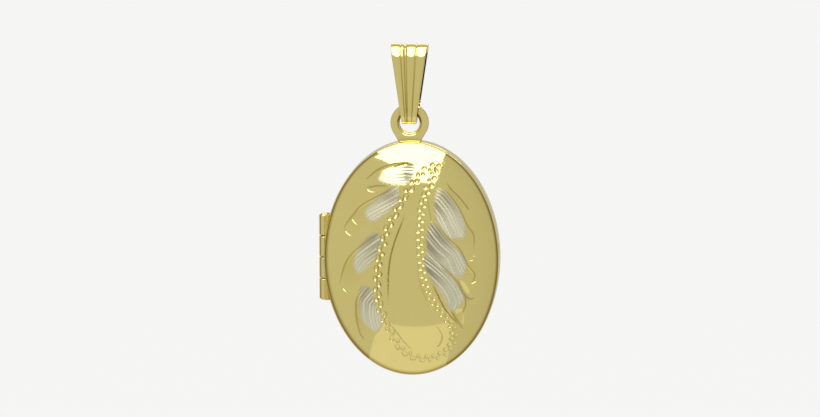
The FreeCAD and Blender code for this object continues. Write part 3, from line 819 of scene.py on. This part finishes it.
def oval_ring(name, profile, spokes=240, rounding=0.04 * MM, from_turn=0.0, to_turn=2 * math.pi):
    """A ring whose section is carried round the oval.  The profile's corners are (inset, y): the
    section's distance in from the body's outline and its place front to back."""
    rows = rounded_step(profile, rounding)
    rows = np.stack([HALF_WIDTH - rows[:, 0], HALF_LENGTH - rows[:, 0], rows[:, 1]], axis=1)
    grid = oval_rings(rows, spokes, from_turn, to_turn)
    whole = abs(to_turn - from_turn - 2 * math.pi) < 1e-9
    if whole:
        return skin(name, grid, wrap_rows=True)
    return skin(name, grid.transpose(1, 0, 2), close_start=True, close_end=True)


collar_low, collar_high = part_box("back_collar")
COLLAR_INSET = 0.38 * MM
COLLAR_WALL = 0.25 * MM
HINGE_ROOM = 0.15 * MM
collar_along = HALF_LENGTH - COLLAR_INSET
collar_bottom = math.asin((HINGE_BOTTOM - HINGE_ROOM - OVAL_CENTRE[2]) / collar_along)
collar_top = math.asin((HINGE_TOP + HINGE_ROOM - OVAL_CENTRE[2]) / collar_along)
collar = oval_ring(
    "collar",
    [
        (SHELL_WALL, collar_high[1]),
        (SHELL_WALL, BACK_RIM_Y),
        (COLLAR_INSET, BACK_RIM_Y),
        (COLLAR_INSET, collar_low[1]),
        (COLLAR_INSET + COLLAR_WALL, collar_low[1]),
        (COLLAR_INSET + COLLAR_WALL, collar_high[1]),
    ],
    from_turn=-math.pi - collar_bottom,
    to_turn=math.pi - collar_top,
)
collar.data.materials.append(satin_gold)
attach(collar, "back_half")
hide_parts("back_collar")

SOLDERED_INSIDE = {
    "back_seat_ring": satin_gold, "front_seat_ring": satin_gold, "snap_ridge": polished_gold,
}
for node, gold in SOLDERED_INSIDE.items():
    for place in frame["nodes"][node].material_slots:
        place.material = gold


# ---- Pictures, windows and frames -------------------------------------------------------------
# In each half a blank card lies on the seat, a clear acetate sheet over it, and a springy oval
# ring with an L section is pressed in to hold both.
def oval_plate(name, inset, near, far, rounding=0.02 * MM, spokes=200):
    """A flat oval disc with a rounded edge: from the middle of one face out, round the edge and
    back to the middle of the other."""
    across, along = HALF_WIDTH - inset, HALF_LENGTH - inset
    face_near = np.array([(across * k, along * k, near) for k in (0.02, 0.3, 0.6, 0.85)])
    face_far = np.array([(across * k, along * k, far) for k in (0.85, 0.6, 0.3, 0.02)])
    corners = [(across * 0.9, along * 0.9, near), (across, along, near), (across, along, far)]
    corners.append((across * 0.9, along * 0.9, far))
    edge = rounded_step(corners, rounding, closed=False)[4:-4]
    rows = np.concatenate([face_near, edge, face_far])
    return skin(name, oval_rings(rows, spokes), close_start=True, close_end=True)


def card_material():
    """Thick matt card: cream, faintly mottled, with a fibrous tooth."""
    material, tree, shader = new_material("picture card")
    where = add(tree, "TexCoord").outputs["Object"]
    mottle = add(tree, "TexNoise", {"Vector": where, "Scale": 900, "Detail": 5})
    colour = blend(tree, mottle, (0.80, 0.76, 0.67, 1), (0.88, 0.85, 0.78, 1))
    fibre = add(tree, "TexNoise", {"Vector": where, "Scale": 9000, "Detail": 4})
    bump = add(tree, "Bump", {"Height": fibre, "Strength": 0.4, "Distance": 0.01 * MM})
    join(tree, shader, {"Base Color": colour, "Roughness": 0.8, "Normal": bump})
    return material


def acetate_material():
    """Clear sheet, faintly scuffed."""
    material, tree, shader = new_material("clear acetate")
    where = add(tree, "TexCoord").outputs["Object"]
    scuff = add(tree, "TexNoise", {"Vector": where, "Scale": 1500, "Detail": 4})
    tint = blend(tree, scuff, (0.96, 0.97, 0.96, 1), (1.0, 1.0, 1.0, 1))
    rough = ramp(tree, scuff, 0.0, 1.0, 0.01, 0.07)
    clear = {"Transmission Weight": 1.0, "IOR": 1.48}
    join(tree, shader, {"Base Color": tint, "Roughness": rough, **clear})
    return material


FRAME_SKIRT = 0.25 * MM
FRAME_LIP_WIDTH = 0.65 * MM
FRAME_LIP_THICKNESS = 0.15 * MM
SHEET_GAP = 0.01 * MM
card_paper, acetate = card_material(), acetate_material()
for half, body in (("back", "back_half"), ("front", "cover")):
    card_low, card_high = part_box(f"{half}_picture_card")
    sheet_low, sheet_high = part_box(f"{half}_window")
    frame_low, frame_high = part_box(f"{half}_picture_frame")
    frame_inset = HALF_WIDTH - (frame_high[0] - frame_low[0]) / 2
    plate_inset = HALF_WIDTH - (card_high[0] - card_low[0]) / 2
    seat_y, top_y = frame_low[1], frame_high[1]
    if half == "back":
        seat_y, top_y = top_y, seat_y
    lip_y = top_y + math.copysign(FRAME_LIP_THICKNESS, seat_y - top_y)
    ring = oval_ring(
        f"{half}_frame_ring",
        [
            (frame_inset, seat_y),
            (frame_inset, top_y),
            (frame_inset + FRAME_SKIRT + FRAME_LIP_WIDTH, top_y),
            (frame_inset + FRAME_SKIRT + FRAME_LIP_WIDTH, lip_y),
            (frame_inset + FRAME_SKIRT, lip_y),
            (frame_inset + FRAME_SKIRT, seat_y),
        ],
    )
    card = oval_plate(f"{half}_card", plate_inset, card_low[1] + SHEET_GAP, card_high[1] - SHEET_GAP)
    sheet_faces = sheet_low[1] + SHEET_GAP, sheet_high[1] - SHEET_GAP
    sheet = oval_plate(f"{half}_acetate", plate_inset, *sheet_faces)
    for piece, stuff, node, slot in (
        (ring, polished_gold, "picture_frame", "polished_gold"),
        (card, card_paper, "picture_card", "picture_card"),
        (sheet, acetate, "window", "clear_window"),
    ):
        piece.data.materials.append(stuff)
        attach(piece, body)
        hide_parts(f"{half}_{node}")


# ---- The hinge --------------------------------------------------------------------------------
# Four short tubes turn on one wire.  Each is soldered to a gutter strip let into its own half's
# rim, so each tube swells on one side into its solder; the wire's ends are peened over.
KNUCKLE_RADIUS = 0.42 * MM
KNUCKLE_BORE = 0.23 * MM
KNUCKLE_ROUNDING = 0.06 * MM
SOLDER_RISE = 0.07 * MM
SOLDER_MIDDLE = math.radians(40)
SOLDER_HALF_SPREAD = math.radians(24)


def round_pin(radius_rows, heights, spokes, swell=None):
    """Circles round the pin's axis: row k has radius_rows[k] at heights[k].  swell adds a share of
    the solder's rise to the outer rows at each angle."""
    turn = np.linspace(0, 2 * math.pi, spokes, endpoint=False)
    radius = np.repeat(np.asarray(radius_rows)[:, None], spokes, axis=1)
    if swell is not None:
        radius = radius + swell(turn)[None, :] * (radius > KNUCKLE_BORE * 1.2)
    x = PIN_X + radius * np.cos(turn)
    y = SEAM_Y + radius * np.sin(turn)
    z = np.repeat(np.asarray(heights)[:, None], spokes, axis=1)
    return np.stack([x, y, z], axis=-1)


for number, half in enumerate(("back", "front") * 2, 1):
    node = f"{half}_knuckle_{number}"
    low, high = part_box(node)
    side = 1 if half == "back" else -1

    def solder(turn, side=side):
        """A smooth hump of the solder's rise, centred on the knuckle's own gutter."""
        away = np.abs(np.angle(np.exp(1j * (turn - side * SOLDER_MIDDLE))))
        return SOLDER_RISE * soft_step(-away, -SOLDER_HALF_SPREAD, -SOLDER_HALF_SPREAD * 0.5)

    wall = [(KNUCKLE_RADIUS, z) for z in (low[2], high[2])]
    bore = [(KNUCKLE_BORE, z) for z in (high[2], low[2])]
    section = rounded_step(wall + bore, KNUCKLE_ROUNDING, steps=6)
    tube_grid = round_pin(section[:, 0], section[:, 1], 72, solder)
    tube = skin(f"hinge_tube_{number}", tube_grid, wrap_rows=True)
    tube.data.materials.append(polished_gold)
    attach(tube, "back_half" if half == "back" else "cover")
    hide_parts(node)

pin_low, pin_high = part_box("hinge_pin")
PIN_RADIUS = 0.20 * MM
PIN_HEAD_RADIUS = (pin_high[0] - pin_low[0]) / 2
HEAD_CLEAR = 0.01 * MM
top_from, bottom_from = HINGE_TOP + HEAD_CLEAR, HINGE_BOTTOM - HEAD_CLEAR
dome = np.linspace(0.05, math.pi / 2, 8)
top_radius = PIN_HEAD_RADIUS * np.sin(dome) ** 0.8
top_height = top_from + (pin_high[2] - top_from) * np.cos(dome)
bottom_height = bottom_from - (bottom_from - pin_low[2]) * np.cos(dome)
shank_radius = [PIN_RADIUS, PIN_RADIUS]
shank_height = [HINGE_TOP, HINGE_BOTTOM]
radii = np.concatenate([top_radius, shank_radius, top_radius[::-1]])
heights = np.concatenate([top_height, shank_height, bottom_height[::-1]])
wire = skin("hinge_wire", round_pin(radii, heights, 64), close_start=True, close_end=True)
wire.data.materials.append(polished_gold)
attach(wire, "back_half")
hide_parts("hinge_pin")
for node in ("back_hinge_bearer", "front_hinge_bearer"):
    for place in frame["nodes"][node].material_slots:
        place.material = satin_gold


# ---- The eye ----------------------------------------------------------------------------------
# A flat ring with a short neck, cast in one, filed flat, its hole countersunk from both sides,
# and hard-soldered to the top of the back shell's rim.
eye_low, eye_high = (np.array(corner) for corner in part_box("bail_lug"))
EYE_RADIUS = 1.62 * MM
EYE_HOLE = 0.86 * MM
EYE_BEVEL = 0.17 * MM
EYE_EDGE = 0.07 * MM
NECK_HALF_WIDTH = 0.875 * MM
eye_centre = (eye_low + eye_high) / 2
eye_centre[2] = eye_high[2] - EYE_RADIUS
eye_half_thick = (eye_high[1] - eye_low[1]) / 2
neck_foot = OVAL_CENTRE[2] + HALF_LENGTH - 0.12 * MM


def eye_reach(turn):
    """Distance from the hole's centre to the eye's outline in each direction: the circle, or the
    neck's side where that lies further out, but never past the neck's foot."""
    across, up = np.cos(turn), np.sin(turn)
    drop = eye_centre[2] - neck_foot
    lean = math.asin(EYE_RADIUS / math.hypot(NECK_HALF_WIDTH, drop))
    lean -= math.atan2(NECK_HALF_WIDTH, drop)
    normal_x, normal_z = math.cos(lean), -math.sin(lean)
    offset = NECK_HALF_WIDTH * normal_x - drop * normal_z
    side_reach = offset / np.maximum(np.abs(across) * normal_x + up * normal_z, 1e-6)
    foot_reach = drop / np.maximum(-up, 1e-6)
    tangent_turn = math.atan2(-math.sin(lean), math.cos(lean))
    below = up < math.sin(tangent_turn)
    neck_reach = np.minimum(np.maximum(side_reach, EYE_RADIUS * 0.2), foot_reach)
    return np.where(below, neck_reach, EYE_RADIUS)


turn = np.linspace(0, 2 * math.pi, 300, endpoint=False)
reach = eye_reach(turn)
# the section from the hole to the outline, on the front face: each row has a distance of its own,
# a share of the outline's reach, and a place front to back; the back face is its mirror image
quarter = np.linspace(0, math.pi / 2, 5)
share = np.linspace(0.15, 0.85, 5)
no_share, front = np.zeros(5), np.full(5, -eye_half_thick)
bevel = [EYE_HOLE + EYE_BEVEL * np.sin(quarter), no_share, front + EYE_BEVEL * np.cos(quarter)]
flat = [(EYE_HOLE + EYE_BEVEL) * (1 - share) - EYE_EDGE * share, share, front]
rounded = front + EYE_EDGE * (1 - np.cos(quarter))
edge = [EYE_EDGE * (np.sin(quarter) - 1), no_share + 1, rounded]
front_rows = np.hstack([bevel, flat, edge]).T
eye_rows = np.concatenate([front_rows, front_rows[::-1] * [1, 1, -1]])
radius = eye_rows[:, 0, None] + eye_rows[:, 1, None] * reach[None, :]
eye_grid = np.stack(
    [
        eye_centre[0] + radius * np.cos(turn),
        np.repeat(eye_centre[1] + eye_rows[:, 2, None], len(turn), axis=1),
        eye_centre[2] + radius * np.sin(turn),
    ],
    axis=-1,
)
eye = skin("eye", eye_grid, wrap_rows=True)
# the eye and the bail get heavier crease darkening over a wider reach: polishing compound and painted
# shadow round the bail's foot and in the hole
compound_shaded_gold = gold_material(
    "soiled gold", GOLD, GOLD_DEEP, 0.06, 350.0, 9000.0, 0.9, reach=0.7 * MM, until=0.85
)
eye.data.materials.append(compound_shaded_gold)
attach(eye, "back_half")
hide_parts("bail_lug")


# ---- The bail ---------------------------------------------------------------------------------
# A tapering strip pressed with flutes, folded over a mandrel into a loop for the chain; its two
# narrow ends are lapped and soldered under the eye's rim.
bail_low, bail_high = (np.array(corner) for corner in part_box("bail"))
swing = next(joint for joint in frame["joints"] if joint["name"] == "bail_swing")["pos_m"]
BAIL_STRIP = 0.28 * MM
BAIL_FOOT_WIDTH = 1.15 * MM
BAIL_EDGE = 0.06 * MM
bail_top_width = bail_high[0] - bail_low[0]
loop_radius = bail_high[2]
FOOT_HALF_DEPTH = 1.066 * MM
FLUTE_CROWN = 0.07 * MM
# grooves between the flutes: place and half width as shares of the strip's half width, and depth
GROOVES = [(-0.475, 0.035, 0.08 * MM), (-0.20, 0.085, 0.12 * MM), (0.405, 0.05, 0.09 * MM)]


def bail_path(steps):
    """The strip's outer and inner lines seen from the side, the outward direction, and how far
    under the eye each place lies, from 0 to 1.

    Outside: half a circle over the top, straight legs, and half an ellipse under the eye.
    Inside: the same circle one strip smaller, and half a true circle under the eye, so that the
    lapped ends grow thicker towards the bottom.
    """
    pivot = swing[2]
    drop = pivot - bail_low[2]
    reach = math.hypot(FOOT_HALF_DEPTH, pivot)
    lean = math.atan2(pivot, FOOT_HALF_DEPTH) + math.acos(loop_radius / reach)
    top = np.linspace(math.pi - lean, lean, steps)
    foot = np.linspace(0, -math.pi, steps)
    lines = []
    for over, wide, deep in (
        (loop_radius, FOOT_HALF_DEPTH, drop),
        (loop_radius - BAIL_STRIP, FOOT_HALF_DEPTH - BAIL_STRIP, FOOT_HALF_DEPTH - BAIL_STRIP),
    ):
        arch = np.stack([over * np.cos(top), over * np.sin(top)], axis=1)
        square = 0.7 if wide == FOOT_HALF_DEPTH else 1.0
        out, down = np.cos(foot), np.abs(np.sin(foot))
        out = np.sign(out) * np.abs(out) ** square
        bend = np.stack([wide * out, pivot - deep * down**square], axis=1)
        down = np.linspace(arch[-1], bend[0], 40, endpoint=False)[1:]
        up = np.linspace(bend[-1], arch[0], 40, endpoint=False)[1:]
        lines.append(np.concatenate([arch, down, bend, up]))
    outside, inside = lines
    ahead = np.roll(outside, -1, axis=0) - np.roll(outside, 1, axis=0)
    ahead /= np.linalg.norm(ahead, axis=1, keepdims=True)
    outward = np.stack([-ahead[:, 1], ahead[:, 0]], axis=1)
    if outward[steps // 2] @ outside[steps // 2] < 0:
        outward = -outward
    under = soft_step(pivot - outside[:, 1], 0.0, drop * 0.9)
    return outside, inside, outward, under


line, inner_line, outward, under = bail_path(56)
share_down = (bail_high[2] - line[:, 1]) / (bail_high[2] - bail_low[2])
half_width = (bail_top_width + (BAIL_FOOT_WIDTH - bail_top_width) * share_down) / 2
across = np.sin(np.linspace(-math.pi / 2, math.pi / 2, 150))
relief = np.zeros(len(across))
walls = [-1.0] + [place for place, _, _ in GROOVES] + [1.0]
for left, right in zip(walls, walls[1:]):
    inside = (across >= left) & (across <= right)
    middle, half = (left + right) / 2, (right - left) / 2
    relief[inside] = -FLUTE_CROWN * half * 2 * ((across[inside] - middle) / half) ** 2
for place, width, depth in GROOVES:
    relief = np.minimum(relief, -depth * np.exp(-((across - place) / width) ** 2))
relief -= BAIL_EDGE * np.clip((np.abs(across) - 0.955) / 0.045, 0, 1) ** 2
inner_across = across[::-5] * 0.99
outer_side = np.stack([across, relief, np.zeros(len(across))], axis=1)
level = np.zeros(len(inner_across))
inner_side = np.stack([inner_across, level, level + 1], axis=1)
right_side = np.array([(1.0, relief[-1], 0.12), (1.0, 0.0, 0.5), (1.0, 0.0, 0.88)])
left_side = right_side[::-1] * np.array([-1, 1, 1])
band = np.concatenate([outer_side, right_side, inner_side, left_side])
flute_fade = 1 - 0.6 * under
rise = band[None, :, 1] * flute_fade[:, None]
inward = inner_line - line
bail_grid = np.stack(
    [
        band[None, :, 0] * half_width[:, None],
        line[:, 0, None] + outward[:, 0, None] * rise + inward[:, 0, None] * band[None, :, 2],
        line[:, 1, None] + outward[:, 1, None] * rise + inward[:, 1, None] * band[None, :, 2],
    ],
    axis=-1,
)
bail = skin("folded_bail", bail_grid, wrap_rows=True)
bail.data.materials.append(compound_shaded_gold)
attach(bail, "bail")
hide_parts("bail")


# ---- The room ---------------------------------------------------------------------------------
# A pale floor well below the hanging locket, a grey room that is dark and brown to the sides,
# above and below, level panels of light over, under and behind the locket, and the camera
# slightly above and to the right.
FLOOR_DROP = 200 * MM
floor_mesh = bpy.data.meshes.new("floor")
floor_height = back_low[2] - FLOOR_DROP
corners = [(x, y, floor_height) for x, y in ((-20, -3), (20, -3), (20, 30), (-20, 30))]
floor_mesh.from_pydata(corners, [], [(0, 1, 2, 3)])
floor = into_scene("floor", floor_mesh)
pale, tree, shader = new_material("pale floor")
matt = {"Base Color": (0.2, 0.2, 0.2, 1), "Roughness": 1.0, "Specular IOR Level": 0.0}
join(tree, shader, {**matt, "Emission Color": (1, 1, 1, 1), "Emission Strength": 0.83})
floor_mesh.materials.append(pale)
floor.visible_glossy = False

# the room is grey ahead and behind, where the way front to back is most of the direction
DARK_SIDES = (0.10, (0.22, 0.17, 0.11, 1))
GREY_ENDS = (0.48, (0.576, 0.576, 0.576, 1))
BACKDROP = (0.92, 0.92, 0.92, 1)
room = bpy.data.worlds.new("grey room")
room.use_nodes = True
bpy.context.scene.world = room
tree = room.node_tree
split = add(tree, "SeparateXYZ", {"Vector": add(tree, "TexCoord").outputs["Generated"]})
tone = add(tree, "ValToRGB", {"Fac": calc(tree, "ABSOLUTE", split.outputs["Y"])})
for stop, (position, colour) in zip(tone.color_ramp.elements, (DARK_SIDES, GREY_ENDS)):
    stop.position, stop.color = position, colour
from_left = ramp(tree, split.outputs["X"], 0.0, 1.0, 1.0, 0.86)
layers = {"Factor": 1.0, "A": tone, "B": from_left}
uneven = add(tree, "Mix", layers, data_type="RGBA", blend_type="MULTIPLY")
seen = add(tree, "LightPath").outputs["Is Camera Ray"]
join(tree, tree.nodes["Background"], {"Color": blend(tree, seen, uneven, BACKDROP)})

TARGET = np.array([0.02 * MM, 0.0, OVAL_CENTRE[2] + 4.26 * MM])
DISTANCE = 0.30
VIEW_WIDTH = 69.8 * MM
SENSOR_WIDTH = 36


def direction(azimuth, elevation):
    """The unit vector from the locket towards a place seen at this azimuth and elevation, where
    azimuth 0 is straight in front and positive is to the right."""
    a, e = math.radians(azimuth), math.radians(elevation)
    return np.array([math.sin(a) * math.cos(e), -math.cos(a) * math.cos(e), math.sin(e)])


def flat_panel(name, height, left, right, far, near, glow):
    """A level rectangular light of even brightness, height above (or below) the locket's middle,
    reaching from left to right and from far in front to near, and turned towards the locket.  A
    lamp's watts are its brightness times pi times its area."""
    lamp = bpy.data.lights.new(name, "AREA")
    lamp.shape = "RECTANGLE"
    lamp.size = right - left
    lamp.size_y = near - far
    lamp.energy = glow * math.pi * lamp.size * lamp.size_y
    lamp_object = into_scene(name, lamp)
    lamp_object.location = ((left + right) / 2, (far + near) / 2, OVAL_CENTRE[2] + height)
    if height < 0:
        lamp_object.rotation_euler = (math.pi, 0, 0)


for panel in (
    ("ceiling panel", 0.10, -0.078, 0.056, -1.05, 0.014, 2.4),
    ("left ceiling panel", 0.10, -0.096, -0.078, -1.05, -0.09, 2.4),
    ("table panel", -0.10, -0.066, 0.036, -0.215, 0.03, 0.15),
    ("rear ceiling panel", 0.10, -0.060, 0.105, 0.13, 0.21, 1.9),
    ("rear table panel", -0.10, -0.040, 0.066, 0.06, 0.30, 0.15),
):
    flat_panel(*panel)

camera_data = bpy.data.cameras.new("camera")
camera_data.sensor_width = SENSOR_WIDTH
camera_data.lens = SENSOR_WIDTH * DISTANCE / VIEW_WIDTH
camera_data.clip_start = 0.01
camera = into_scene("camera", camera_data)
camera_away = direction(6, 11)
camera.location = Vector(TARGET + camera_away * DISTANCE)
camera.rotation_euler = Vector(camera_away).to_track_quat("Z", "Y").to_euler()
bpy.context.scene.camera = camera
bpy.context.scene.view_settings.view_transform = "Standard"
